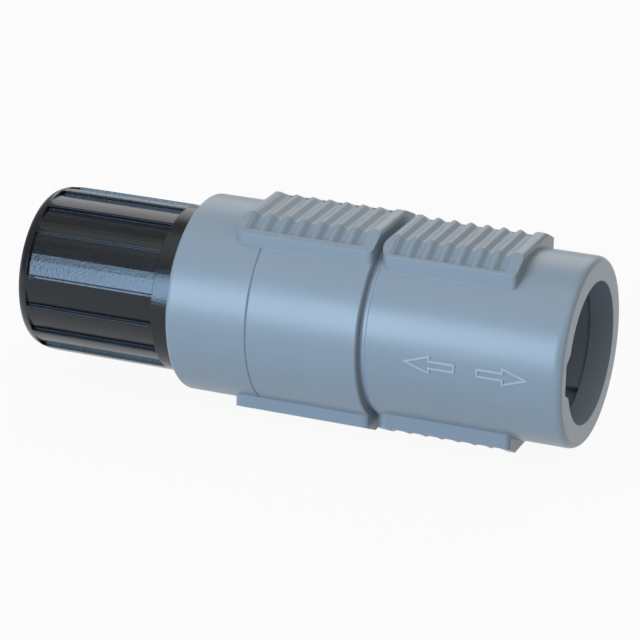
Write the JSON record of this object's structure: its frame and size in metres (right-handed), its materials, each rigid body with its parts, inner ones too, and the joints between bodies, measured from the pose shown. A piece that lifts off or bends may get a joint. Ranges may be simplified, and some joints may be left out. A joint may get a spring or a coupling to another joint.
{
  "type": "push pull circular connector",
  "caption": "Cylindrical push pull cable connector with a keyed mouth, a sprung release sleeve, ridged grip pads and a fluted cable clamping nut.",
  "frame": {"origin": "on the connector's axis, in the plane of the mouth", "axes": "+X along the axis, out of the mouth; +Z through the upper grip pads; -Y towards the keyway and the arrows"},
  "size_m": [0.0582, 0.02, 0.021],
  "materials": {
    "sleeve_plastic": "fine matt moulded, grey blue",
    "shell_plastic": "fine matt moulded, grey blue",
    "core_plastic": "smooth moulded, light grey",
    "nut_plastic": "semi gloss moulded, black",
    "insert_plastic": "moulded, dark grey",
    "washer_plastic": "moulded, pale grey",
    "contact_metal": "turned and gold plated",
    "steel": "spring steel",
    "rubber": "soft black rubber"
  },
  "bodies": {
    "housing": {"mid_sleeve": "shell_plastic", "rear_shell": "shell_plastic", "inner_shell": "core_plastic", "shell_o_ring": "rubber", "retaining_ring": "steel", "latch_ring": "steel", "return_spring": "steel", "insulator_front": "insert_plastic", "insulator_rear": "insert_plastic", "contact_1": "contact_metal", "contact_2": "contact_metal", "contact_3": "contact_metal", "contact_4": "contact_metal", "contact_5": "contact_metal", "contact_6": "contact_metal", "contact_7": "contact_metal", "contact_8": "contact_metal", "cable_seal": "rubber"},
    "sleeve": {"front_sleeve": "sleeve_plastic"},
    "clamp": {"thrust_washer": "washer_plastic", "clamp_collet": "washer_plastic"},
    "nut": {"back_nut": "nut_plastic"}
  },
  "joints": [
    {"name": "sleeve_slide", "type": "slide", "parent": "housing", "child": "sleeve", "axis": [-1, 0, 0], "range_m": [0, 0.0006], "stiffness_N_per_m": 1200, "springref_m": -0.0005, "deforming": ["return_spring"]},
    {"name": "clamp_travel", "type": "slide", "parent": "housing", "child": "clamp", "axis": [-1, 0, 0], "range_m": [0, 0.0035]},
    {"name": "nut_turn", "type": "hinge", "parent": "clamp", "child": "nut", "pos_m": [-0.045, 0, 0], "axis": [-1, 0, 0], "range_deg": [0, 1260]}
  ],
  "couplings": [
    {"joint": "clamp_travel", "follows": "nut_turn", "m_per_rad": 0.00015915}
  ]
}
